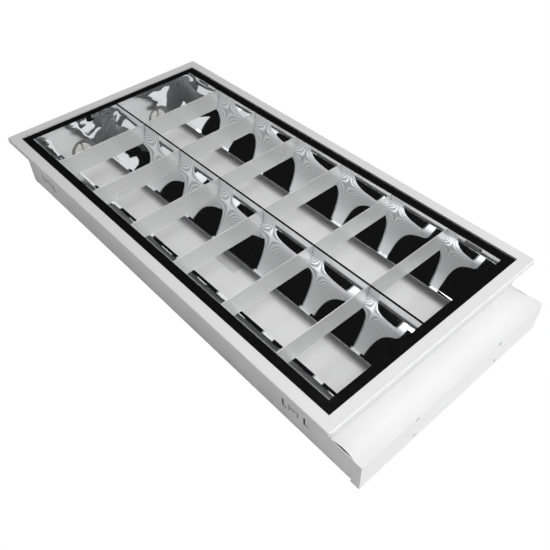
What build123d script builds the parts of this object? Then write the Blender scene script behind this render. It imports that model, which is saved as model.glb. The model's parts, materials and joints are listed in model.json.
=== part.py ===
"""Recessed louvre light for two T8 tubes, lying on its flat back with the louvre up.

Millimetres. The origin is the middle of the flange's face. +X runs to the end box,
+Y to the hinge side, +Z out of the mouth.
"""
import os
from math import sqrt

from build123d import *

# ---- driving dimensions ----
flange_length = 610.0
flange_width = 310.0
flange_face = 13.4          # from the outer edge to the mouth
flange_corner = 3.0
lip_height = 6.0
collar_height = 10.0
body_depth = 75.0
sheet = 0.6
bend = 4.0                  # outer radius of the base's folds
fold_edge = 1.2             # outer radius of the flange's folded edge
joggle = 2.0                # how far the side wall steps in below the collar
rest_station = 100.0        # rests for the rim at both ends, from the centre line
rest_width = 10.0
rest_reach = 2.4
notch_width = 1.2           # slit between the folded lips at each corner
cap_inset_left = 9.8        # end wall from the flange's outer edge
cap_inset_right = 9.5
cap_tab = 12.0              # length of an end wall's side tabs
tab_low = 10.0              # end of those tabs above the back
cable_drop = 45.0           # cable hole below the face
play = 0.3                  # gap between pieces that move past each other

nose_reach = 28.5           # end box past the flange
nose_top = 36.6             # below the flange's face
nose_flap = 10.8
nose_bow = 1.6              # hollow in the cover's side edges

lamp_length = 589.8
lamp_side = 65.2            # lamp axis from the centre line
lamp_drop = 54.0            # lamp axis below the face
lamp_play = 0.5             # between the tube's cap and a holder, each end
lamp_cutout = 19.0          # radius round the tube in the end reflectors
cutout_drop = 52.0

rim_gap = 1.0               # between the mouth and the rim
rim_width = 10.6
rim_sheet = 0.8
rim_drop = 1.2              # rim's face below the flange's face
rim_lip = 3.8

mirror_sheet = 0.5
mouth_half = 64.4           # half width of a reflector's mouth
reflector_bottom = 58.7
reflector_foot = 29.2       # half width where the curve meets its flat foot
curve_side = 65.0           # where the tangents of the curve's two ends meet:
curve_drop = 32.5           # from the lamp axis, and below the face
foot_edge = 25.3            # inner edge of the foot
end_reflector_bottom = 66.0
end_reflector_inset = 23.8
spine_half = 1.0
spine_drop = 1.4

blade_pitch = 83.7
blade_count = 6
blade_bottom = 29.5
blade_half = 1.0            # half the V's opening
blade_tip = 0.4
blade_sheet = 0.5
blade_play = 0.25

holder_depth = 11.0
holder_half = 12.0
holder_round = 13.0
holder_clear = 4.0          # between the holder's foot and the base
rotor_radius = 8.5
rotor_play = 0.08
rotor_depth = 5.7
pin_slot = 3.2
pin_spread = 6.5            # half the distance between the tube's pins
contact_sheet = 0.6
rivet_radius = 1.6
rivet_head = 2.25
rivet_spread = 14.0
tab_spread = 12.5
tab_length = 4.0
tab_sheet = 0.8
bracket_sheet = 0.8         # holder brackets in the end box
leg_half = 7.0
leg_high = 9.5
leg_foot = 16.6

catch_station = 245.0       # slots, catches and hinges from the middle
slot_spread = 15.0
slot_high = 43.0
slot_low = 54.0
slot_width = 2.4
slot_foot = 4.0
slit_spread = 6.0
slit_width = 1.6
plate_half = 8.0            # bracket plates behind the slots

hinge_side = 131.4
hinge_drop = 4.7
pin_radius = 1.0
pin_play = 0.05
pin_length = 20.0
eye_radius = 2.0
curl_radius = 1.8
strap_half = 5.8
strap_sheet = 1.0
strap_foot = 72.0
arm_half = 4.0
rail_low = 40.0             # guide rails and bridge below the face
bridge_drop = 16.5
bridge_height = 5.0
lug_sheet = 0.6

lever_side = 136.5
lever_drop = 47.0
lever_sheet = 0.6
bead_radius = 1.6
bead_drop = 9.0
lug_side = 132.4

ballast_half_length = 100.0
ballast_half_width = 15.0
ballast_height = 24.4
ballast_sheet = 0.8
ballast_tab = 22.0
ballast_stud = 16.0         # stud past the case's end
connector_length = 9.0
connector_half = 11.0
connector_height = 10.0
stud_radius = 2.0
nut_flats = 7.0
nut_height = 3.2
terminal_x = -200.0
terminal_half_length = 13.0
terminal_half_width = 18.0
terminal_height = 15.0
pole_pitch = 11.0
well_radius = 3.2
well_depth = 3.0
screw_radius = 2.8
screw_height = 2.4
earth_x = -235.0
wire_radius = 1.3
wire_entry = 6.5            # wires at a connector, above the base
wire_bend = 4.0
grommet_bore = 4.75
grommet_hole = 10.0

# ---- places worked out from them ----
half_length = flange_length / 2
half_width = flange_width / 2
mouth_x = half_length - flange_face
mouth_y = half_width - flange_face
wall_y = mouth_y + sheet - joggle + sheet          # outer face of a side wall
wall_in = wall_y - sheet
base_top = -body_depth + sheet
left_wall = -half_length + cap_inset_left          # outer faces of the end walls
right_wall = half_length - cap_inset_right
nose_end = half_length + nose_reach
rim_x = mouth_x - rim_gap
rim_y = mouth_y - rim_gap
rim_under = -rim_drop - rim_sheet
end_mirror = half_length - end_reflector_inset
lamp_z = -lamp_drop
left_face = left_wall + sheet + holder_depth       # faces of the lampholders
right_face = left_face + lamp_length + 2 * lamp_play
SIDES = {"front": -1, "back": 1}
ENDS = {"left": -1, "right": 1}


# ---- small helpers ----
def block(x0, x1, y0, y1, z0, z1):
    """A box between two corners, given in any order."""
    size = (abs(x1 - x0), abs(y1 - y0), abs(z1 - z0))
    return Pos((x0 + x1) / 2, (y0 + y1) / 2, (z0 + z1) / 2) * Box(*size)


def rod(axis, centre, radius, length):
    """A cylinder of that length about its centre, along an axis."""
    turn = {"X": (0, 90, 0), "Y": (90, 0, 0), "Z": (0, 0, 0)}[axis]
    return Pos(*centre) * Rot(*turn) * Cylinder(radius, length)


def outline(*points):
    return make_face(Polyline(*points, close=True).edges())


def prism_x(face, x0, x1):
    """A face drawn in (y, z), swept from x0 to x1."""
    return extrude(Plane.YZ.offset(x0) * face, x1 - x0)


def prism_y(face, y0, y1):
    """A face drawn in (x, z), swept from y0 to y1."""
    plane = Plane(origin=(0, y1, 0), x_dir=(1, 0, 0), z_dir=(0, -1, 0))
    return extrude(plane * face, y1 - y0)


def prism_z(face, z0, z1):
    """A face drawn in (x, y), swept from z0 to z1."""
    return extrude(Plane.XY.offset(z0) * face, z1 - z0)


def mirrored_y(shape, side):
    return shape if side > 0 else mirror(shape, Plane.XZ)


def mirrored_x(shape, end):
    return shape if end > 0 else mirror(shape, Plane.YZ)


def write(name, shape):
    """Write one node; several solids in a list become one compound."""
    if isinstance(shape, (list, tuple)):
        shape = Compound(children=[solid for piece in shape for solid in piece.solids()])
    export_step(shape, os.path.join("parts", name + ".step"))


# ---- the reflector's curve ----
def curve_at(z):
    """Point and upward tangent of the reflector's parabola at a height."""
    (h0, z0), (h1, z1), (h2, z2) = ((mouth_half, rim_under), (curve_side, -curve_drop),
                                    (reflector_foot, -reflector_bottom))
    bend_z, fall = z0 - 2 * z1 + z2, 2 * (z0 - z1)
    t = 2 * (z0 - z) / (fall + sqrt(fall ** 2 - 4 * bend_z * (z0 - z)))
    point = Vector((1 - t) ** 2 * h0 + 2 * t * (1 - t) * h1 + t ** 2 * h2, z)
    tangent = Vector((1 - t) * (h0 - h1) + t * (h1 - h2), (1 - t) * (z0 - z1) + t * (z1 - z2))
    return point, tangent.normalized()


def curve_points(z_top, z_bottom, out=0.0):
    """Control points of one side between two heights, moved out along the normals."""
    ends = []
    for z in (z_top, z_bottom):
        point, tangent = curve_at(z)
        ends.append((point + Vector(tangent.Y, -tangent.X) * out, tangent))
    (p0, t0), (p2, t2) = ends
    gap = p2 - p0
    reach = (gap.X * t2.Y - gap.Y * t2.X) / (t0.X * t2.Y - t0.Y * t2.X)
    return p0, p0 + t0 * reach, p2


def mirror_section(z_top, z_bottom):
    """Section of one curved sheet: its bright face follows the curve."""
    inner = curve_points(z_top, z_bottom)
    outer = curve_points(z_top, z_bottom, mirror_sheet)
    edges = [Bezier(*inner), Line(inner[2], outer[2]), Bezier(*reversed(outer)), Line(outer[0], inner[0])]
    return make_face(edges)


def cell_section(z_top, z_bottom, inset):
    """Space between the two sides of a reflector, drawn in by a clearance."""
    right = curve_points(z_top, z_bottom, -inset)
    left = [Vector(-p.X, p.Y) for p in right]
    edges = [Bezier(*right), Line(right[2], left[2]), Bezier(*reversed(left)), Line(left[0], right[0])]
    return make_face(edges)


# ---- housing ----
def rounded_plate(half_x, half_y, corner):
    return RectangleRounded(2 * half_x, 2 * half_y, corner)


def face_frame():
    """Flange with a folded lip outside, a collar inside and rests for the rim at both ends."""
    body = prism_z(rounded_plate(half_length, half_width, flange_corner), -lip_height, 0)
    body = fillet(body.edges().group_by(Axis.Z)[-1], fold_edge)
    core = rounded_plate(half_length - sheet, half_width - sheet, flange_corner - sheet)
    core = prism_z(core, -lip_height - 1, -sheet)
    core = fillet(core.edges().group_by(Axis.Z)[-1], fold_edge - sheet)
    body -= core
    body += block(-mouth_x - sheet, mouth_x + sheet, -mouth_y - sheet, mouth_y + sheet, -collar_height, 0)
    body -= block(-mouth_x, mouth_x, -mouth_y, mouth_y, -collar_height - 1, 1)
    rest_top = rim_under - rim_lip + rim_sheet - play
    for end in (-1, 1):
        for side in (-1, 1):
            body += block(end * (mouth_x - rest_reach), end * (mouth_x + sheet / 2),
                          side * (rest_station - rest_width / 2), side * (rest_station + rest_width / 2),
                          rest_top - sheet, rest_top)
            body -= block(end * (half_length - 2), end * (half_length + 1),
                          side * (half_width - flange_corner - notch_width), side * (half_width - flange_corner),
                          -lip_height - 1, -2 * fold_edge)
    return body


def tray_outline(inside):
    """Section of the folded tray, closed across its top; inside gives the inner face."""
    step = sheet if inside else 0.0
    lap = mouth_y + 2 * sheet - step
    wall = wall_y - step
    low = -body_depth + step
    lap_end = -collar_height - sheet + 0.4 * step
    joggle_end = lap_end - joggle
    points = [(-lap, -sheet), (-lap, lap_end), (-wall, joggle_end), (-wall, low),
              (wall, low), (wall, joggle_end), (lap, lap_end), (lap, -sheet)]
    face = outline(*points)
    corners = face.vertices().group_by(Axis.Y)[0]
    return fillet(corners, bend - step)


def bracket_slots(x, side):
    """Holes for one bracket in a side wall, as a cutting body."""
    out, deep = side * (wall_y + 1), side * (wall_in - 1)
    cuts = []
    for offset in (-slot_spread, slot_spread):
        left = x + offset - slot_width / 2
        cuts.append(block(left, left + slot_width, deep, out, -slot_low, -slot_high))
        cuts.append(block(left, left + slot_width + slot_foot, deep, out, -slot_low, -slot_low + 2))
    for offset in (-slit_spread, slit_spread):
        left = x + offset - slit_width / 2
        cuts.append(block(left, left + slit_width, deep, out, -slot_low + 1, -slot_high - 1))
    cuts.append(rod("Y", (x + slit_spread - 1, side * wall_y, -slot_high + 4), 1.0, 4))
    return cuts


def pressed_bump(x, side):
    """The small raised bridge between the two slits of a bracket pattern."""
    half_x, half_z, rise = 4.6, 2.6, 0.8
    middle = -(slot_high + slot_low) / 2
    low = Plane(origin=(x, side * (wall_y - sheet / 2), middle), x_dir=(1, 0, 0), z_dir=(0, side, 0))
    high = low.offset(rise + sheet / 2)
    return loft([low * Rectangle(2 * half_x, 2 * half_z), high * Rectangle(half_x, half_z)])


def body_tray():
    """Base and side walls folded from one sheet, low in the end box, with studs on the base."""
    section = tray_outline(False) - tray_outline(True)
    tray = prism_x(section, left_wall, right_wall)
    nose = prism_x(section, right_wall, nose_end - sheet)
    nose -= block(right_wall - 1, nose_end + 1, -half_width, half_width, -nose_top - sheet, 1)
    tray += nose
    tray -= block(left_wall - 1, left_wall + bend, -wall_in, wall_in, -body_depth - 1, base_top + 0.1)
    corner = outline((left_wall - 1, -body_depth - 1), (left_wall + bend, -body_depth - 1),
                     (left_wall + bend, -body_depth), (left_wall, -body_depth + bend),
                     (left_wall - 1, -body_depth + bend))
    tray -= prism_y(corner, -half_width, half_width)
    for x in (-catch_station, catch_station):
        for side in (-1, 1):
            tray -= bracket_slots(x, side)
            tray += pressed_bump(x, side)
    for x, height in stud_places():
        tray += rod("Z", (x, 0, base_top + height / 2 - 0.1), stud_radius, height + 0.2)
    return tray


def stud_places():
    """Weld studs on the base: two for the ballast and one for the earth."""
    ballast_x = ballast_half_length + ballast_stud
    height = ballast_sheet + nut_height + 2
    return [(-ballast_x, height), (ballast_x, height), (earth_x, height)]


def inner_space(x0, x1):
    return prism_x(tray_outline(True), x0, x1)


def end_cap_left():
    """End wall with a round fold to the base, side tabs and holes for holders and cable."""
    outer = [(left_wall, -sheet), (left_wall, -body_depth + bend)]
    centre = (left_wall + bend, -body_depth + bend)
    inner_radius = bend - sheet
    edges = [
        Line(outer[0], outer[1]),
        CenterArc(centre, bend, 180, 90),
        Line((centre[0], -body_depth), (centre[0], base_top)),
        CenterArc(centre, inner_radius, 180, 90),
        Line((left_wall + sheet, centre[1]), (left_wall + sheet, -sheet)),
        Line((left_wall + sheet, -sheet), outer[0]),
    ]
    cap = prism_y(make_face(edges), -wall_in, wall_in)
    cap &= inner_space(left_wall - 1, left_wall + bend + 1) + block(
        left_wall - 1, left_wall + bend, -wall_in + bend, wall_in - bend, -body_depth, -sheet)
    for side in (-1, 1):
        cap += block(left_wall + sheet / 2, left_wall + sheet + cap_tab, side * (wall_in - sheet), side * wall_in,
                     -body_depth + tab_low, -collar_height - joggle - 2)
    cap -= rod("X", (left_wall, 0, -cable_drop), grommet_hole, 4)
    return cap - holder_holes(left_wall + sheet / 2)


def holder_holes(x):
    """Rivet holes and tab slits of both lampholders in one end face, as cutting bodies."""
    cuts = []
    for lamp in (-lamp_side, lamp_side):
        for up in (-rivet_spread, rivet_spread):
            cuts.append(rod("X", (x, lamp, lamp_z + up), rivet_radius, 4))
        for off in (-tab_spread, tab_spread):
            cuts.append(block(x - 2, x + 2, lamp + off - tab_length / 2 - 0.1, lamp + off + tab_length / 2 + 0.1,
                              lamp_z - 0.6, lamp_z + 0.6))
    return cuts


def end_cap_right():
    """Upper end wall: it stands on the base and lets the tubes and wires through."""
    cap = block(right_wall - sheet, right_wall, -wall_in, wall_in, base_top, -sheet)
    cap &= inner_space(right_wall - 1, right_wall + 1)
    for lamp in (-lamp_side, lamp_side):
        cap -= block(right_wall - 2, right_wall + 2, lamp - lamp_cutout - 1, lamp + lamp_cutout + 1,
                     -body_depth + bend + 2, -nose_top - 2 * sheet)
    cap -= block(right_wall - 2, right_wall + 2, -16, 16, base_top - 1, base_top + 8)
    for side in (-1, 1):
        cap += block(right_wall - sheet - cap_tab, right_wall - sheet / 2, side * (wall_in - sheet), side * wall_in,
                     -body_depth + tab_low, -collar_height - joggle - 2)
    return cap


def nose_cover():
    """Cover of the end box: hollow-edged top, end face and two side flaps."""
    edge = wall_y - 0.2
    flap_start = nose_end - nose_flap
    out = wall_y + sheet
    middle_x = (right_wall + flap_start) / 2
    edges = []
    for side in (-1, 1):
        edges.append(ThreePointArc((right_wall, side * edge), (middle_x, side * (edge - nose_bow)),
                                   (flap_start, side * edge)))
        edges.append(Line((flap_start, side * edge), (flap_start, side * out)))
        edges.append(Line((flap_start, side * out), (nose_end, side * out)))
    edges.append(Line((right_wall, -edge), (right_wall, edge)))
    edges.append(Line((nose_end, -out), (nose_end, out)))
    cover = prism_z(make_face(edges), -nose_top - sheet, -nose_top)
    cover += block(nose_end - sheet, nose_end, -out, out, -body_depth, -nose_top)
    for side in (-1, 1):
        cover += block(flap_start, nose_end, side * wall_y, side * out, -body_depth, -nose_top)
    return cover - holder_holes(nose_end - sheet / 2)


# ---- lampholders ----
def lampholder(end):
    """Holder body about the lamp axis; its face looks along -end."""
    back = holder_depth
    foot = lamp_drop - body_depth + sheet + holder_clear
    shell = prism_x(Circle(holder_round), 0, back)
    shell += block(0, back, -holder_half, holder_half, foot, 0)
    shell = chamfer(shell.edges().group_by(Axis.X)[0], 0.8)
    shell -= rod("X", (0, 0, 0), rotor_radius + rotor_play, 2 * (rotor_depth + 0.3))
    shell -= block(-1, rotor_depth + 3, -pin_slot / 2, pin_slot / 2, 0, holder_round + 1)
    shell -= block(rotor_depth, rotor_depth + 3.3, -pin_spread - 1.5, pin_spread + 1.5, -3.5, 3.5)
    return place_holder(shell, end)


def place_holder(shape, end):
    """Put a shape drawn from the holder's face at x = 0 at one end of the lamp axis."""
    if end < 0:
        return Pos(left_face, 0, lamp_z) * mirror(shape, Plane.YZ)
    return Pos(right_face, 0, lamp_z) * shape


def rotor():
    """Turning disc with the slot that takes the tube's pins."""
    disc = prism_x(Circle(rotor_radius), 0.1, rotor_depth)
    disc += prism_x(Circle(rotor_radius - 2.5), -0.5, 0.2)
    disc -= block(-1, rotor_depth - 1.2, -pin_slot / 2 + 0.1, pin_slot / 2 - 0.1, -rotor_radius - 1, rotor_radius + 1)
    return disc


def contacts():
    """Two springy strips at the bottom of the holder's well."""
    strips = []
    for off in (-pin_spread, pin_spread):
        strips.append(block(rotor_depth + 3.3 - contact_sheet, rotor_depth + 3.3, off - 1.2, off + 1.2, -3.2, 3.2))
    return strips


def holder_bracket():
    """Plate behind a right holder, with two riveted feet and two tabs in the cover's slits."""
    x0 = holder_depth
    x1 = nose_end - sheet - right_face
    leg_low = leg_high - bracket_sheet
    arm_end = tab_spread + tab_length / 2
    plate = block(x0, x0 + bracket_sheet, -arm_end, arm_end, -2.4, 2.4)
    plate += block(x0, x0 + bracket_sheet, -leg_half - 3, leg_half + 3, -leg_high, leg_high)
    for up in (-1, 1):
        plate += block(x0, x1, -leg_half, leg_half, up * leg_low, up * leg_high)
        plate += block(x1 - bracket_sheet, x1, -leg_half, leg_half, up * leg_low, up * leg_foot)
        plate -= rod("X", (x1, 0, up * rivet_spread), rivet_radius, 4)
    for off in (-tab_spread, tab_spread):
        plate += block(x0, x1 + sheet, off - tab_length / 2 + 0.1, off + tab_length / 2 - 0.1,
                       -tab_sheet / 2, tab_sheet / 2)
    return place_holder(plate, 1)


def holder_rivets():
    """Blind rivets of the lampholders in both end faces."""
    rivets = []
    for lamp in (-lamp_side, lamp_side):
        for up in (-rivet_spread, rivet_spread):
            z = lamp_z + up
            grip = sheet + bracket_sheet
            rivets.append(rivet(nose_end, 1, lamp, z, grip))
            rivets.append(rivet(left_wall, -1, lamp, z, sheet))
    return rivets


def rivet(face_x, out, y, z, grip):
    """One rivet: a low domed head outside, a shank and, through a bracket, a formed tail."""
    head_height = 0.7
    dome = 0.5 * (rivet_head ** 2 + head_height ** 2) / head_height
    head = Pos(face_x + out * (head_height - dome), y, z) * Sphere(dome)
    head &= block(face_x, face_x + out * head_height, y - rivet_head, y + rivet_head, z - rivet_head, z + rivet_head)
    shank = rod("X", (face_x - out * grip / 2, y, z), rivet_radius, grip)
    body = head + shank
    if grip > sheet:
        body += rod("X", (face_x - out * (grip + 0.5), y, z), rivet_head, 1.0)
    return body


# ---- gear on the base ----
def ballast_case():
    """Open case with end tabs over the studs."""
    half_l, half_w = ballast_half_length, ballast_half_width
    top = base_top + ballast_height - ballast_sheet
    case = block(-half_l, half_l, -half_w, half_w, base_top, top)
    case -= block(-half_l + ballast_sheet, half_l - ballast_sheet, -half_w + ballast_sheet,
                  half_w - ballast_sheet, base_top + ballast_sheet, top + 1)
    for end in (-1, 1):
        case += block(end * (half_l - 0.4), end * (half_l + ballast_tab), -half_w + 2, half_w - 2, base_top,
                      base_top + ballast_sheet)
        case -= rod("Z", (end * (half_l + ballast_stud), 0, base_top), stud_radius + 0.15, 4)
    return case


def ballast_lid():
    top = base_top + ballast_height
    return block(-ballast_half_length, ballast_half_length, -ballast_half_width, ballast_half_width,
                 top - ballast_sheet, top)


def ballast_connectors():
    """Wire connectors at both ends of the ballast."""
    bottom = base_top + ballast_sheet
    blocks = []
    for end in (-1, 1):
        blocks.append(block(end * ballast_half_length, end * (ballast_half_length + connector_length),
                            -connector_half, connector_half, bottom, bottom + connector_height))
    return blocks


def hex_nut(x):
    bottom = base_top + (0 if x == earth_x else ballast_sheet)
    hexagon = RegularPolygon(nut_flats / 2, 6, major_radius=False, rotation=30)
    blank = prism_z(hexagon, bottom, bottom + nut_height)
    return Pos(x, 0, 0) * (blank - rod("Z", (0, 0, bottom), stud_radius + pin_play, 20))


def terminal_block():
    """Three-pole block with screw wells on top."""
    top = base_top + terminal_height
    shape = block(terminal_x - terminal_half_length, terminal_x + terminal_half_length,
                  -terminal_half_width, terminal_half_width, base_top, top)
    shape = chamfer(shape.edges().group_by(Axis.Z)[-1], 1.0)
    for y in terminal_poles():
        shape -= rod("Z", (terminal_x, y, top), well_radius, 2 * well_depth)
    return shape


def terminal_poles():
    return (-pole_pitch, 0.0, pole_pitch)


def terminal_screws():
    """Slotted screws seated in the wells."""
    bottom = base_top + terminal_height - well_depth
    screws = []
    for y in terminal_poles():
        screw = rod("Z", (terminal_x, y, bottom + screw_height / 2), screw_radius, screw_height)
        screw -= block(terminal_x - 4, terminal_x + 4, y - 0.4, y + 0.4, bottom + screw_height - 1, bottom + 4)
        screws.append(screw)
    return screws


def cable_grommet():
    """Rubber ring in the left cap's cable hole."""
    ring = rod("X", (left_wall - 1.0, 0, -cable_drop), grommet_hole + 2.5, 2.0)
    ring += rod("X", (left_wall + sheet / 2, 0, -cable_drop), grommet_hole - 0.1, sheet + 2)
    ring += rod("X", (left_wall + sheet + 1.2, 0, -cable_drop), grommet_hole + 1.5, 2.4)
    return ring - rod("X", (left_wall, 0, -cable_drop), grommet_bore, 20)


def wire(points, radius):
    """A wire along straight runs with tangent arcs."""
    path = FilletPolyline(*points, radius=radius)
    heading = (Vector(*points[1]) - Vector(*points[0])).normalized()
    section = Plane(origin=points[0], z_dir=heading) * Circle(wire_radius)
    return sweep(section, path=path)


def lamp_wires():
    """A twin wire from the ballast to each lampholder, laid along the base."""
    floor = base_top + wire_radius + 0.2
    entry = base_top + wire_entry
    plug = ballast_half_length + connector_length
    wires = []
    for side in (-1, 1):
        holder_edge = lamp_side - holder_half
        left_x = left_face - holder_depth / 2
        right_x = right_face + holder_depth / 2
        wires.append(wire([(-plug, side * 8, entry), (-plug - 16, side * 8, entry),
                           (-plug - 34, side * 27, floor), (left_x, side * 27, floor),
                           (left_x, side * 42, floor + 5), (left_x, side * holder_edge, floor + 5)], wire_bend))
        wires.append(wire([(plug, side * 8, entry), (plug + 16, side * 8, entry),
                           (plug + 34, side * 11, floor), (right_x, side * 11, floor),
                           (right_x, side * 42, floor + 5), (right_x, side * holder_edge, floor + 5)], wire_bend))
    return wires


def supply_wires():
    """Two supply wires from the terminal block to the ballast, and the earth wire."""
    z = base_top + wire_entry
    start = terminal_x + terminal_half_length
    end = -ballast_half_length - connector_length
    wires = [rod("X", ((start + end) / 2, y, z), wire_radius, end - start) for y in (-3.7, 3.7)]
    left = terminal_x - terminal_half_length
    nut = earth_x + nut_flats / 2
    wires.append(rod("X", ((left + nut) / 2, 0, base_top + wire_radius + 0.2), wire_radius, left - nut))
    return wires


# ---- brackets behind the slots ----
def bracket_plate(top, half):
    """Plate on the wall's inner face with feet in the L-slots, on the hinge side."""
    plate = block(-half, half, wall_in - sheet, wall_in, -slot_low - 2, top)
    plate += block(-slot_spread - 2, slot_spread + 2, wall_in - sheet, wall_in, -slot_low, -slot_high)
    for off in (-slot_spread, slot_spread):
        plate += block(off - 1.1, off - 0.1, wall_in - sheet, wall_y, -slot_low + 2.5, -slot_high - 2.5)
    return plate


def guide_bracket():
    """Channel with a bridge, in which a hinge slide runs."""
    half = plate_half
    bridge = bridge_face()
    plate = bracket_plate(-collar_height - 4, half)
    for off in (-1, 1):
        plate += block(off * half, off * (half - sheet), bridge, wall_in - sheet / 2, -rail_low, -bridge_drop)
    plate += block(-half, half, bridge, bridge + sheet, -bridge_drop - bridge_height, -bridge_drop)
    return plate


def strap_face():
    """Inner face of the hinge slide's strap."""
    return wall_in - sheet - 0.6 - strap_sheet


def bridge_face():
    return strap_face() - play - sheet - 0.1


def hinge_slide():
    """Strap with a stop foot below, an arm over the bridge and a curl round the pin."""
    face = strap_face()
    arm_top = -bridge_drop + 1.5
    strap = block(-strap_half, strap_half, face, face + strap_sheet, -strap_foot, arm_top)
    strap += block(-strap_half, strap_half, face - 3, face + 0.1, -strap_foot, -strap_foot + strap_sheet)
    strap += block(-arm_half, arm_half, hinge_side - 0.5, face + strap_sheet, arm_top - strap_sheet, arm_top)
    strap += block(-arm_half, arm_half, hinge_side - 0.5, hinge_side + 0.5, arm_top - 0.5, -hinge_drop)
    strap += rod("X", (0, hinge_side, -hinge_drop), curl_radius, 2 * arm_half)
    return strap - rod("X", (0, hinge_side, -hinge_drop), pin_radius, 30)


def hinge_pin():
    return rod("X", (0, hinge_side, -hinge_drop), pin_radius, pin_length)


def hinge_lug():
    """Plate under the rim with two eyes round the pin."""
    top = rim_under
    plate = block(-10, 10, hinge_side - 0.8, rim_y - 2, top - lug_sheet, top)
    for off in (-1, 1):
        plate += rod("X", (off * 7.0, hinge_side, -hinge_drop), eye_radius, 5)
        plate += block(off * 4.5, off * 9.5, hinge_side - 0.8, hinge_side + 0.8, -hinge_drop + 1, top - 0.1)
    return plate - rod("X", (0, hinge_side, -hinge_drop), pin_radius + pin_play, 30)


def catch_bracket():
    """Plate with two ears and the pin of a catch lever, drawn on the hinge side."""
    plate = bracket_plate(-lever_drop + 7, plate_half)
    for off in (-1, 1):
        plate += block(off * 6.2, off * 7.2, lever_side - 2.4, wall_in - sheet / 2,
                       -lever_drop - 3, -lever_drop + 3)
    return plate + rod("X", (0, lever_side, -lever_drop), pin_radius, 14.4)


def catch_lever():
    """Sprung lever: a barrel round the pin, a leaf and a bead that holds the louvre's lug."""
    leaf = block(-5.5, 5.5, lever_side - lever_sheet / 2, lever_side + lever_sheet / 2, -lever_drop, -6)
    leaf += rod("X", (0, lever_side, -lever_drop), eye_radius, 11.4)
    leaf += rod("X", (0, lever_side - bead_radius + 0.2, -bead_drop), bead_radius, 11)
    return leaf - rod("X", (0, lever_side, -lever_drop), pin_radius + pin_play, 30)


def catch_lug():
    """Tab under the rim, in front of the lever's bead."""
    tab = block(-8, 8, lug_side, rim_y - 2, rim_under - lug_sheet, rim_under)
    return tab + block(-6, 6, lug_side, lug_side + 0.8, -bead_drop - 2, rim_under)


# ---- louvre ----
def rim_bar(along_x, sign):
    """One mitred bar of the rim: a flat band with a lip at its outer edge."""
    reach, side = (rim_x, rim_y) if along_x else (rim_y, rim_x)
    width = rim_width
    band = outline((-reach, side), (reach, side), (reach - width, side - width), (-reach + width, side - width))
    bar = prism_z(band, rim_under, -rim_drop)
    lip = outline((-reach, side), (reach, side), (reach - rim_sheet, side - rim_sheet),
                  (-reach + rim_sheet, side - rim_sheet))
    bar += prism_z(lip, rim_under - rim_lip + rim_sheet, -rim_drop)
    bar = chamfer(bar.edges().filter_by(Axis.X).group_by(Axis.Z)[-1].sort_by(Axis.Y)[-1], 0.3)
    if along_x and sign > 0:
        for x in (-catch_station, catch_station):
            bar -= block(x - 12, x + 12, side - 3, side + 1, -20, rim_under)
    turn = {(True, 1): 0, (True, -1): 180, (False, 1): -90, (False, -1): 90}[(along_x, sign)]
    return Rot(0, 0, turn) * bar


def catch_windows(side):
    """Openings in a side reflector at the hinge pins and levers, as cutting bodies."""
    cuts = []
    for x in (-catch_station, catch_station):
        cuts.append(block(x - 11, x + 11, side * (half_width - 35), side * half_width, -6.6, -2.8))
        cuts.append(block(x - 12, x + 12, side * (lamp_side + mouth_half + 0.8), side * half_width, -4, 0))
    return cuts


def reflector_half():
    """Outer half of a reflector about the lamp axis: the curve and its flat foot."""
    sheet_x = end_mirror - mirror_sheet - 0.2
    half = prism_x(mirror_section(rim_under, -reflector_bottom), -sheet_x, sheet_x)
    return half + block(-sheet_x, sheet_x, foot_edge, reflector_foot + mirror_sheet,
                        -reflector_bottom - mirror_sheet, -reflector_bottom)


def side_reflector(side):
    """Outer half of a reflector with a flat edge under the rim."""
    sheet_x = end_mirror - mirror_sheet - 0.2
    body = Pos(0, lamp_side, 0) * reflector_half()
    edge = lamp_side + mouth_half
    body += block(-sheet_x, sheet_x, edge, edge + 4.5, rim_under - mirror_sheet, rim_under)
    return mirrored_y(body, side) - catch_windows(side)


def centre_reflector():
    """Two inner halves joined along the spine."""
    flank = Pos(0, lamp_side, 0) * mirror(reflector_half(), Plane.XZ)
    body = flank + mirror(flank, Plane.XZ)
    cap_x = rim_x - rim_width - 0.1
    return body + block(-cap_x, cap_x, -spine_half, spine_half, rim_under - 0.4, -spine_drop)


def end_reflector(end):
    """Flat end mirror with a cut-out for each tube, open towards the base."""
    half = lamp_side + mouth_half + 4
    x = end_mirror
    plate = block(x - mirror_sheet, x, -half, half, -end_reflector_bottom, rim_under)
    plate += block(x - mirror_sheet / 2, x + 4.5, -half + 6, half - 6, rim_under - mirror_sheet, rim_under)
    for lamp in (-lamp_side, lamp_side):
        plate -= rod("X", (x, lamp, -cutout_drop), lamp_cutout, 4)
        plate -= block(x - 2, x + 2, lamp - lamp_cutout, lamp + lamp_cutout, -body_depth, -cutout_drop)
    for side in (-1, 1):
        corner = side * (half + 1)
        inner = side * (lamp_side + foot_edge + 4)
        plate -= block(x - 2, x + 2, inner, corner, -body_depth, -reflector_bottom + 8)
    return mirrored_x(plate, end)


def blade():
    """Folded V-section blade about a lamp axis, its ends following the curve."""
    low = -blade_bottom
    top = -rim_drop
    wall = blade_sheet
    section = outline((-blade_half, low), (-blade_tip, top), (blade_tip, top), (blade_half, low),
                      (blade_half - wall, low), (0, top - 1.6), (-blade_half + wall, low))
    bar = prism_y(section, -mouth_half - 1, mouth_half + 1)
    space = cell_section(rim_under, -blade_bottom - 2, blade_play)
    limit = prism_x(space, -blade_half - 1, blade_half + 1)
    cap_half = mouth_half - blade_play
    limit += block(-blade_half - 1, blade_half + 1, -cap_half, cap_half, rim_under - 0.01, 0)
    return bar & limit


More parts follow.
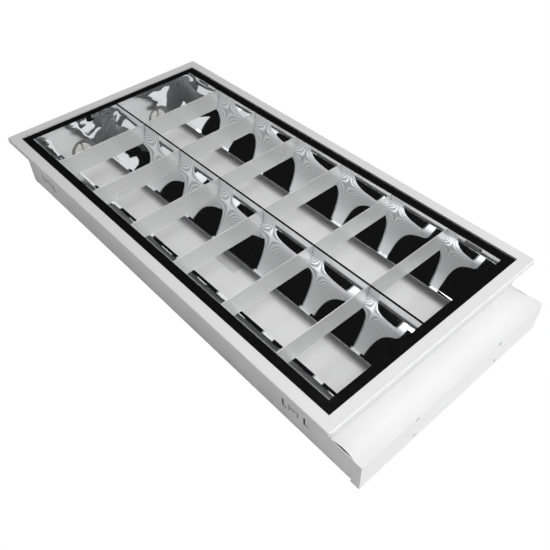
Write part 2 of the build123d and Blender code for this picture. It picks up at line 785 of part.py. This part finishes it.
# ---- writing the nodes ----
def main():
    os.makedirs("parts", exist_ok=True)
    write("face_frame", face_frame())
    write("body_tray", body_tray())
    write("end_cap_left", end_cap_left())
    write("end_cap_right", end_cap_right())
    write("nose_cover", nose_cover())
    write("holder_rivets", holder_rivets())
    write("mounting_nuts", [hex_nut(x) for x, _ in stud_places()])
    strips = []
    for end_name, end in ENDS.items():
        for side_name, side in SIDES.items():
            place = Pos(0, side * lamp_side, 0)
            name = f"{end_name}_{side_name}"
            write(f"lampholder_{name}", place * lampholder(end))
            write(f"rotor_{name}", place * place_holder(rotor(), end))
            strips += [place * place_holder(strip, end) for strip in contacts()]
    write("lamp_contacts", strips)
    for side_name, side in SIDES.items():
        write(f"holder_bracket_{side_name}", Pos(0, side * lamp_side, 0) * holder_bracket())
    write("ballast_case", ballast_case())
    write("ballast_lid", ballast_lid())
    write("ballast_connectors", ballast_connectors())
    write("terminal_block", terminal_block())
    write("terminal_screws", terminal_screws())
    write("cable_grommet", cable_grommet())
    write("lamp_wires", lamp_wires())
    write("supply_wires", supply_wires())
    for end_name, end in ENDS.items():
        place = Pos(end * catch_station, 0, 0)
        write(f"guide_bracket_{end_name}", place * guide_bracket())
        write(f"hinge_slide_{end_name}", place * hinge_slide())
        write(f"catch_bracket_{end_name}", place * mirror(catch_bracket(), Plane.XZ))
        write(f"catch_lever_{end_name}", place * mirror(catch_lever(), Plane.XZ))
    stations = [Pos(end * catch_station, 0, 0) for end in (-1, 1)]
    write("hinge_pins", [place * hinge_pin() for place in stations])
    write("hinge_lugs", [place * hinge_lug() for place in stations])
    write("catch_lugs", [place * mirror(catch_lug(), Plane.XZ) for place in stations])
    write("rim_back", rim_bar(True, 1))
    write("rim_front", rim_bar(True, -1))
    write("rim_right", rim_bar(False, 1))
    write("rim_left", rim_bar(False, -1))
    for side_name, side in SIDES.items():
        write(f"side_reflector_{side_name}", side_reflector(side))
    write("centre_reflector", centre_reflector())
    for end_name, end in ENDS.items():
        write(f"end_reflector_{end_name}", end_reflector(end))
    shape = blade()
    for side_name, side in SIDES.items():
        for index in range(blade_count):
            x = blade_pitch * (index - (blade_count - 1) / 2)
            write(f"blade_{side_name}_{index + 1}", Pos(x, side * lamp_side, 0) * shape)


main()
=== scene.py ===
"""Looks for the recessed louvre light: materials, mirrors, ridged blades, lamps and camera."""
import json
import math

import bmesh
import bpy
from mathutils import Matrix, Vector


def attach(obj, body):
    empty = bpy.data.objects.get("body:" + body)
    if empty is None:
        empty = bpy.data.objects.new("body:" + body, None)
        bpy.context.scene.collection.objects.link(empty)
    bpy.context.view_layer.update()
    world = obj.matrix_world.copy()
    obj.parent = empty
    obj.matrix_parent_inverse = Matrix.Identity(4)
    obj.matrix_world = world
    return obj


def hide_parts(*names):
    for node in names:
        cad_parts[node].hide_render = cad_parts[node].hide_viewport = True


MM = 0.001
CLOSE = 1e-6
SIDES = ((-1, "front"), (1, "back"))

# ---- sizes that repeat the part's own, in millimetres ----
LAMP_SIDE = 65.2            # middle of a column
MOUTH_HALF = 64.4           # half width of a column at the rim
RIM_UNDER = -2.0
REFLECTOR_BOTTOM = -58.7
REFLECTOR_FOOT = 29.2       # half width at the curve's lower end
FOOT_EDGE = 25.3            # half width at the flat foot's inner edge
CURVE_SIDE = 65.0           # where the tangents at the curve's two ends meet
CURVE_LOW = -32.5
MIRROR_SHEET = 0.5
MIRROR_END = 280.5
EDGE_WIDTH = 4.5            # flat edge under the rim
EDGE_GAP_HALF = 12.0
STATION = 245.0             # middle of the windows for hinges and catches
WINDOW_HALF = 11.0
WINDOW_LOW = -6.6
WINDOW_HIGH = -2.8
BLADE_TOP = -1.2
BLADE_LOW = -29.5
BLADE_HALF = 1.0            # half thickness at the lower edge
BLADE_TIP = 0.4             # half thickness at the fold
BLADE_WALL = 0.5
BLADE_PLAY = 0.25           # gap between a blade's end and the mirror
BLADE_PITCH = 83.7
BLADES = 6                  # in each column
BASE_TOP = -74.4
BACK = -75.0

# ---- sizes of what only this scene shows, in millimetres ----
CURVE_STEPS = 56
BLADE_FOLD = 0.3            # height of the rounded fold
FOLD_ANGLES = (25, 50, 75, 90)
INNER_DROP = 1.6            # from a blade's top to the tip of its hollow
RIBS = 12                   # ridges on each face of a blade
RIB_STEPS = 6
RIB_DEPTH = 0.11
SPINE_X = 279.9
SPINE_HALF = 1.0
SPINE_LOW = -2.4
SPINE_TOP = -1.4
LABEL_X = (-2, 41)
LABEL_Y = (-51, -35)
LABEL_THICK = 0.12
SHARP_ANGLE = 0.25          # radians

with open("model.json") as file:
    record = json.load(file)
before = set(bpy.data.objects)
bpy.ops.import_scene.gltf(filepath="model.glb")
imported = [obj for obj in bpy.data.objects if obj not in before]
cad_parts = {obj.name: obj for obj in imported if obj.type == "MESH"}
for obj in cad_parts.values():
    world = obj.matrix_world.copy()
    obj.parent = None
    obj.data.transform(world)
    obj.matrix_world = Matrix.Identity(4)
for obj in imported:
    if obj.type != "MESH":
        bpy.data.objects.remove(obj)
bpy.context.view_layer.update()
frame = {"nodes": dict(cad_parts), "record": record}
nodes = frame["nodes"]


# ---- materials ----
BLEND_FROM, BLEND_TO = 0.3, 0.7     # the part of a noise's range that is blended over
WAVE_SCALE = 20                     # the wave texture's own factor on its scale


def material(name, color, roughness, metallic=0.0):
    mat = bpy.data.materials.new(name)
    mat.use_nodes = True
    shader = mat.node_tree.nodes["Principled BSDF"]
    shader.inputs["Base Color"].default_value = (*color, 1.0)
    shader.inputs["Roughness"].default_value = roughness
    shader.inputs["Metallic"].default_value = metallic
    return mat


def coordinates(mat, scale=(1, 1, 1)):
    """Object coordinates in metres, stretched per axis."""
    tree = mat.node_tree
    place = tree.nodes.new("ShaderNodeTexCoord")
    stretch = tree.nodes.new("ShaderNodeMapping")
    stretch.inputs["Scale"].default_value = scale
    tree.links.new(place.outputs["Object"], stretch.inputs["Vector"])
    return stretch.outputs["Vector"]


def noise(mat, vector, scale, detail=3.0):
    tree = mat.node_tree
    node = tree.nodes.new("ShaderNodeTexNoise")
    node.inputs["Scale"].default_value = scale
    node.inputs["Detail"].default_value = detail
    tree.links.new(vector, node.inputs["Vector"])
    return node.outputs["Fac"]


def ridges(mat, pitch):
    """Even bands across the height, one for each pitch in metres."""
    tree = mat.node_tree
    node = tree.nodes.new("ShaderNodeTexWave")
    node.bands_direction = "Z"
    node.inputs["Scale"].default_value = 2 * math.pi / (WAVE_SCALE * pitch)
    tree.links.new(coordinates(mat), node.inputs["Vector"])
    return node.outputs["Fac"]


def vary_color(mat, value, dark, light):
    tree = mat.node_tree
    node = tree.nodes.new("ShaderNodeValToRGB")
    first, last = node.color_ramp.elements
    first.position, last.position = BLEND_FROM, BLEND_TO
    first.color, last.color = (*dark, 1.0), (*light, 1.0)
    tree.links.new(value, node.inputs["Fac"])
    tree.links.new(node.outputs["Color"], tree.nodes["Principled BSDF"].inputs["Base Color"])


def vary_roughness(mat, value, low, high):
    tree = mat.node_tree
    node = tree.nodes.new("ShaderNodeMapRange")
    node.inputs["From Min"].default_value = BLEND_FROM
    node.inputs["From Max"].default_value = BLEND_TO
    node.inputs["To Min"].default_value = low
    node.inputs["To Max"].default_value = high
    tree.links.new(value, node.inputs["Value"])
    tree.links.new(node.outputs["Result"], tree.nodes["Principled BSDF"].inputs["Roughness"])


def bump(mat, value, strength, distance):
    tree = mat.node_tree
    node = tree.nodes.new("ShaderNodeBump")
    node.inputs["Strength"].default_value = strength
    node.inputs["Distance"].default_value = distance
    tree.links.new(value, node.inputs["Height"])
    tree.links.new(node.outputs["Normal"], tree.nodes["Principled BSDF"].inputs["Normal"])


def painted_sheet():
    """White paint with a faint orange peel."""
    mat = material("painted_sheet", (0.84, 0.84, 0.84), 0.36)
    space = coordinates(mat)
    vary_color(mat, noise(mat, space, 9.0), (0.825, 0.825, 0.828), (0.855, 0.855, 0.855))
    vary_roughness(mat, noise(mat, space, 30.0), 0.30, 0.42)
    bump(mat, noise(mat, space, 1400.0, detail=1.0), strength=0.10, distance=0.0001)
    return mat


def gloss_black():
    mat = material("rim", (0.006, 0.006, 0.0065), 0.16)
    vary_roughness(mat, noise(mat, coordinates(mat, (8, 8, 8)), 10.0), 0.12, 0.22)
    return mat


def mirror_sheet():
    """Bright rolled sheet, its grain lengthwise, very slightly uneven."""
    mat = material("mirror_sheet", (0.90, 0.905, 0.91), 0.03, metallic=1.0)
    vary_roughness(mat, noise(mat, coordinates(mat, (0.6, 30, 30)), 6.0), 0.015, 0.05)
    bump(mat, noise(mat, coordinates(mat), 22.0, detail=1.0), strength=0.12, distance=0.0004)
    return mat


def end_mirror():
    """Thin bright sheet that isn't flat: its reflections swirl."""
    mat = material("end_mirror", (0.90, 0.905, 0.91), 0.04, metallic=1.0)
    swell = noise(mat, coordinates(mat, (1, 1, 1.6)), 17.0, detail=1.5)
    bump(mat, swell, strength=0.55, distance=0.006)
    return mat


def blade_sheet():
    """Satin sheet with fine lengthwise ridges, with painted shade in their valleys and painted
    highlights on their crests.
    """
    mat = material("blade_sheet", (0.90, 0.902, 0.905), 0.30, metallic=0.35)
    face_height = BLADE_TOP - BLADE_FOLD - BLADE_LOW
    painted_ridge_shading = ridges(mat, face_height / RIBS * MM)
    # painted shade and highlight: the colour bands darken each ridge's valley and lighten its
    # crest
    vary_color(mat, painted_ridge_shading, (0.60, 0.602, 0.605), (0.95, 0.952, 0.955))
    vary_roughness(mat, noise(mat, coordinates(mat), 14.0), 0.27, 0.35)
    return mat


def metal(name, color, low, high, scale=60.0):
    """Bare steel or brass, spotted; low and high are its roughness."""
    mat = material(name, color, low, metallic=1.0)
    spots = noise(mat, coordinates(mat), scale)
    vary_color(mat, spots, [c * 0.86 for c in color], color)
    vary_roughness(mat, spots, low, high)
    return mat


def plastic(name, color, roughness):
    """Moulded plastic with a fine grain."""
    mat = material(name, color, roughness)
    space = coordinates(mat)
    vary_color(mat, noise(mat, space, 40.0), [c * 0.95 for c in color], color)
    bump(mat, noise(mat, space, 1800.0, detail=1.0), strength=0.08, distance=0.0001)
    return mat


looks = {
    "painted_sheet": painted_sheet(),
    "rim": gloss_black(),
    "mirror_sheet": mirror_sheet(),
    "blade_sheet": blade_sheet(),
    "holder_plastic": plastic("holder_plastic", (0.80, 0.80, 0.78), 0.32),
    "rotor_plastic": plastic("rotor_plastic", (0.74, 0.74, 0.72), 0.36),
    "contact_metal": metal("contact_metal", (0.80, 0.60, 0.30), 0.22, 0.35),
    "ballast_steel": metal("ballast_steel", (0.66, 0.67, 0.68), 0.32, 0.48, 45.0),
    "connector_plastic": plastic("connector_plastic", (0.80, 0.80, 0.77), 0.5),
    "grommet_rubber": plastic("grommet_rubber", (0.025, 0.025, 0.025), 0.7),
    "lamp_wire": plastic("lamp_wire", (0.80, 0.80, 0.80), 0.45),
    "supply_wire": plastic("supply_wire", (0.20, 0.09, 0.04), 0.45),
    "spring_steel": metal("spring_steel", (0.16, 0.16, 0.17), 0.28, 0.42),
    "zinc_steel": metal("zinc_steel", (0.60, 0.61, 0.62), 0.30, 0.46, 45.0),
    "end_mirror": end_mirror(),
    # painted shade: the brackets behind the side windows are near-black so that the windows look
    # into dark shade
    "bracket_painted_shade": metal("bracket_painted_shade", (0.05, 0.05, 0.055), 0.35, 0.5),
    "label": plastic("label", (0.62, 0.62, 0.62), 0.42),
}

slots = {entry["node"]: entry["material_slot"] for entry in frame["record"]["subparts"]}
for name, obj in nodes.items():
    look = slots[name]
    if name.startswith("end_reflector"):
        look = "end_mirror"
    elif name.startswith(("catch_bracket", "guide_bracket")):
        # brackets get the painted shade look, standing in for the dark interior seen through the
        # windows
        look = "bracket_painted_shade"
    obj.data.materials.clear()
    obj.data.materials.append(looks[look])


# ---- small mesh tools ----
def build(name, shape, look, body, smooth=True):
    """A piece on a body, from points in millimetres and faces."""
    points, faces = shape
    mesh = bpy.data.meshes.new(name)
    mesh.from_pydata([tuple(c * MM for c in p) for p in points], [], faces)
    mesh.validate()
    shell = bmesh.new()
    shell.from_mesh(mesh)
    bmesh.ops.recalc_face_normals(shell, faces=shell.faces[:])
    shell.to_mesh(mesh)
    shell.free()
    mesh.polygons.foreach_set("use_smooth", [smooth] * len(mesh.polygons))
    if smooth:
        mesh.set_sharp_from_angle(angle=SHARP_ANGLE)
    mesh.materials.append(looks[look])
    obj = bpy.data.objects.new(name, mesh)
    bpy.context.scene.collection.objects.link(obj)
    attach(obj, body)
    return obj


def skin(near, far, keep=lambda i, j: True):
    """A sheet between two grids of points; keep(i, j) says which cells are metal."""
    rows, columns = len(near), len(near[0])
    points = [p for row in near for p in row] + [p for row in far for p in row]
    offset = rows * columns

    def at(i, j):
        return i * columns + j

    def solid(i, j):
        return 0 <= i < rows - 1 and 0 <= j < columns - 1 and keep(i, j)

    faces = []
    for i in range(rows - 1):
        for j in range(columns - 1):
            if not keep(i, j):
                continue
            a, b, c, d = at(i, j), at(i + 1, j), at(i + 1, j + 1), at(i, j + 1)
            faces.append((a, b, c, d))
            faces.append((a + offset, d + offset, c + offset, b + offset))
            for (p, q), neighbour in (((a, b), (i, j - 1)), ((b, c), (i + 1, j)),
                                      ((c, d), (i, j + 1)), ((d, a), (i - 1, j))):
                if not solid(*neighbour):
                    faces.append((q, p, p + offset, q + offset))
    return points, faces


def joined(*shapes):
    points, faces = [], []
    for more_points, more_faces in shapes:
        start = len(points)
        points += more_points
        faces += [tuple(k + start for k in face) for face in more_faces]
    return points, faces


def brick(x0, x1, y0, y1, z0, z1):
    points = [(x, y, z) for z in (z0, z1) for y in (y0, y1) for x in (x0, x1)]
    faces = [(0, 2, 3, 1), (4, 5, 7, 6), (0, 1, 5, 4), (2, 6, 7, 3), (0, 4, 6, 2), (1, 3, 7, 5)]
    return points, faces


# ---- mirrors ----
def curve_share(z):
    """How far down the curve a height lies, from 0 at the mouth to 1 at the foot."""
    bend = RIM_UNDER - 2 * CURVE_LOW + REFLECTOR_BOTTOM
    fall = 2 * (RIM_UNDER - CURVE_LOW)
    drop = RIM_UNDER - z
    return 2 * drop / (fall + math.sqrt(fall ** 2 - 4 * bend * drop))


def curve_point(t):
    """The curve's point (half width, height) and outward normal at a share of its way."""
    mouth = Vector((MOUTH_HALF, RIM_UNDER))
    middle = Vector((CURVE_SIDE, CURVE_LOW))
    foot = Vector((REFLECTOR_FOOT, REFLECTOR_BOTTOM))
    point = (1 - t) ** 2 * mouth + 2 * t * (1 - t) * middle + t ** 2 * foot
    along = ((1 - t) * (mouth - middle) + t * (middle - foot)).normalized()
    return point, Vector((along.y, -along.x))


def mirror_rows(side, lamp, x_lines, extra=()):
    """Grids of one flank's bright face and back, foot first, with rows at the extra heights."""
    sole = REFLECTOR_BOTTOM - MIRROR_SHEET
    even = {k / CURVE_STEPS for k in range(CURVE_STEPS + 1)}
    shares = sorted(even | {curve_share(z) for z in extra}, reverse=True)
    near = [[(x, lamp + side * FOOT_EDGE, REFLECTOR_BOTTOM) for x in x_lines]]
    far = [[(x, lamp + side * FOOT_EDGE, sole) for x in x_lines]]
    heights = [REFLECTOR_BOTTOM]
    for t in shares:
        point, out = curve_point(t)
        back = point + out * MIRROR_SHEET
        low = sole if t == 1 else min(back.y, RIM_UNDER)
        near.append([(x, lamp + side * point.x, point.y) for x in x_lines])
        far.append([(x, lamp + side * back.x, low) for x in x_lines])
        heights.append(point.y)
    return near, far, heights


def side_mirror(side):
    """Outer flank with its flat edge and the two windows of the hinges or catches."""
    x_lines = [-MIRROR_END, -STATION - WINDOW_HALF, -STATION + WINDOW_HALF,
               STATION - WINDOW_HALF, STATION + WINDOW_HALF, MIRROR_END]
    near, far, heights = mirror_rows(side, side * LAMP_SIDE, x_lines, (WINDOW_LOW, WINDOW_HIGH))

    def keep(i, j):
        above = heights[i] >= WINDOW_LOW - CLOSE
        below = heights[i + 1] <= WINDOW_HIGH + CLOSE
        return not (j in (1, 3) and above and below)

    edge = side * (LAMP_SIDE + MOUTH_HALF)
    shapes = [skin(near, far, keep)]
    for x0, x1 in ((-MIRROR_END, -STATION - EDGE_GAP_HALF),
                   (-STATION + EDGE_GAP_HALF, STATION - EDGE_GAP_HALF),
                   (STATION + EDGE_GAP_HALF, MIRROR_END)):
        shapes.append(brick(x0, x1, edge, edge + side * EDGE_WIDTH,
                            RIM_UNDER - MIRROR_SHEET, RIM_UNDER))
    return joined(*shapes)


def centre_mirror():
    """The two inner flanks, back to back."""
    shapes = []
    for side, _ in SIDES:
        near, far, _ = mirror_rows(-side, side * LAMP_SIDE, [-MIRROR_END, MIRROR_END])
        shapes.append(skin(near, far))
    return joined(*shapes)


for side, word in SIDES:
    piece = build(f"mirror_{word}", side_mirror(side), "mirror_sheet", "louvre")
    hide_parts(f"side_reflector_{word}")

piece = build("mirror_centre", centre_mirror(), "mirror_sheet", "louvre")
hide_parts("centre_reflector")
spine = brick(-SPINE_X, SPINE_X, -SPINE_HALF, SPINE_HALF, SPINE_LOW, SPINE_TOP)
build("spine", spine, "rim", "louvre", smooth=False)


# ---- blades ----
def blade_profile():
    """Section in (x, z): ridged right face, fold, ridged left face, then the inside's 3 points."""
    fold_low = BLADE_TOP - BLADE_FOLD
    foot = Vector((BLADE_HALF, BLADE_LOW))
    along = Vector((BLADE_TIP, fold_low)) - foot
    out = Vector((along.y, -along.x)).normalized()
    right = []
    for k in range(RIBS * RIB_STEPS + 1):
        t = (k % RIB_STEPS) / RIB_STEPS
        dip = RIB_DEPTH * (2 * t - 1) ** 2
        p = foot + along * (k / (RIBS * RIB_STEPS)) - out * dip
        right.append((p.x, p.y))
    fold = [(BLADE_TIP * math.cos(a), fold_low + BLADE_FOLD * math.sin(a))
            for a in map(math.radians, FOLD_ANGLES)]
    half = right + fold
    left = [(-x, z) for x, z in reversed(half[:-1])]
    hollow = BLADE_HALF - BLADE_WALL
    return half + left + [(-hollow, BLADE_LOW), (0, BLADE_TOP - INNER_DROP), (hollow, BLADE_LOW)]


def blade_reach(z):
    """Half length of a blade at a height."""
    point, _ = curve_point(curve_share(min(z, RIM_UNDER)))
    return point.x - BLADE_PLAY


profile = blade_profile()


def blade(x, y):
    """One blade across a column, its ends cut to the reflector's curve."""
    count = len(profile)
    inner_left, inner_top, inner_right = range(count - 3, count)
    top = inner_left // 2
    points = []
    for end in (-1, 1):
        points += [(x + px, y + end * blade_reach(pz), pz) for px, pz in profile]
    faces = [(k, (k + 1) % count, (k + 1) % count + count, k + count) for k in range(count)]
    right = [*range(top + 1), inner_top, inner_right]
    left = [*range(top, inner_left + 1), inner_top]
    faces += [tuple(reversed(ring)) for ring in (right, left)]
    faces += [tuple(k + count for k in ring) for ring in (right, left)]
    return points, faces


for side, word in SIDES:
    for index in range(BLADES):
        shape = blade(BLADE_PITCH * (index - (BLADES - 1) / 2), side * LAMP_SIDE)
        piece = build(f"ribbed_blade_{word}_{index + 1}", shape, "blade_sheet", "louvre")
        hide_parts(f"blade_{word}_{index + 1}")


# ---- blank label on the base ----
label = brick(*LABEL_X, *LABEL_Y, BASE_TOP, BASE_TOP + LABEL_THICK)
build("blank_label", label, "label", "housing", smooth=False)


# ---- floor and surroundings ----
FLOOR_SIZE = 12             # metres
FLOOR_GAP = 0.2             # millimetres below the part's back
AMBIENT = 0.007             # the world's strength for all rays but the camera's


def white_to_viewer(mat):
    """Plain white for camera, mirror and transmission rays, the lit surface for all others."""
    tree = mat.node_tree
    glow = tree.nodes.new("ShaderNodeEmission")
    glow.inputs["Color"].default_value = (1, 1, 1, 1)
    path = tree.nodes.new("ShaderNodeLightPath")
    both = tree.nodes.new("ShaderNodeMath")
    both.operation = "MAXIMUM"
    more = tree.nodes.new("ShaderNodeMath")
    more.operation = "MAXIMUM"
    tree.links.new(path.outputs["Is Camera Ray"], both.inputs[0])
    tree.links.new(path.outputs["Is Glossy Ray"], both.inputs[1])
    tree.links.new(both.outputs[0], more.inputs[0])
    tree.links.new(path.outputs["Is Transmission Ray"], more.inputs[1])
    mix = tree.nodes.new("ShaderNodeMixShader")
    tree.links.new(more.outputs[0], mix.inputs["Fac"])
    tree.links.new(tree.nodes["Principled BSDF"].outputs[0], mix.inputs[1])
    tree.links.new(glow.outputs[0], mix.inputs[2])
    tree.links.new(mix.outputs[0], tree.nodes["Material Output"].inputs["Surface"])


floor_look = material("floor", (0.85, 0.85, 0.85), 0.8)
white_to_viewer(floor_look)
bpy.ops.mesh.primitive_plane_add(size=FLOOR_SIZE, location=(0, 0, (BACK - FLOOR_GAP) * MM))
floor = bpy.context.object
floor.name = "floor"
floor.data.materials.append(floor_look)

world = bpy.data.worlds.new("studio")
bpy.context.scene.world = world
world.use_nodes = True
tree = world.node_tree
sky = tree.nodes["Background"]
sky.inputs["Color"].default_value = (1, 1, 1, 1)
path = tree.nodes.new("ShaderNodeLightPath")
level = tree.nodes.new("ShaderNodeMapRange")
level.inputs["To Min"].default_value = AMBIENT
level.inputs["To Max"].default_value = 1.0
tree.links.new(path.outputs["Is Camera Ray"], level.inputs["Value"])
tree.links.new(level.outputs["Result"], sky.inputs["Strength"])


# ---- lamps ----
def softbox(name, place, target, size, power, lights=True, mirrored=False):
    """A soft lamp that lights matt surfaces, shows in mirrors, or both; metres and watts."""
    data = bpy.data.lights.new(name, "AREA")
    data.shape = "RECTANGLE"
    data.size, data.size_y = size
    data.energy = power
    lamp = bpy.data.objects.new(name, data)
    bpy.context.scene.collection.objects.link(lamp)
    lamp.location = place
    aim = Vector(target) - Vector(place)
    lamp.rotation_euler = aim.to_track_quat("-Z", "Y").to_euler()
    lamp.visible_glossy = mirrored
    lamp.visible_diffuse = lights


softbox("key", place=(1.25, 0.05, 1.15), target=(0.05, 0, 0), size=(1.3, 1.6), power=20.0)
softbox("top", place=(0.35, 0.1, 1.75), target=(0, 0, 0), size=(0.9, 1.6), power=16.0,
        mirrored=True)
softbox("card", place=(1.3, 0.0, 1.0), target=(0, 0, 0), size=(2.4, 3.4), power=21.0,
        lights=False, mirrored=True)

# ---- camera, from the photograph's perspective ----
IMAGE_PX = 550.0
FOCAL_PX = 644.35
CENTRE_PX = (282.2, 273.8)
SENSOR = 36.0               # millimetres
CAMERA_PLACE = (0.494165, -0.368366, 0.482913)
RIGHT_AXIS = Vector((0.67019349, 0.74200499, -0.0164099))
DOWN_AXIS = Vector((0.52176749, -0.48676452, -0.70058475))
VIEW_AXIS = Vector((-0.52782514, 0.46096518, -0.71338049))

data = bpy.data.cameras.new("camera")
data.sensor_width = SENSOR
data.lens = FOCAL_PX / IMAGE_PX * SENSOR
data.shift_x = -(CENTRE_PX[0] - IMAGE_PX / 2) / IMAGE_PX
data.shift_y = (CENTRE_PX[1] - IMAGE_PX / 2) / IMAGE_PX
data.clip_start = 0.01
data.clip_end = 100.0
camera = bpy.data.objects.new("camera", data)
bpy.context.scene.collection.objects.link(camera)
turn = Matrix((RIGHT_AXIS, -DOWN_AXIS, -VIEW_AXIS)).transposed().to_4x4()
camera.matrix_world = Matrix.Translation(CAMERA_PLACE) @ turn
bpy.context.scene.camera = camera
bpy.context.scene.view_settings.view_transform = "Standard"
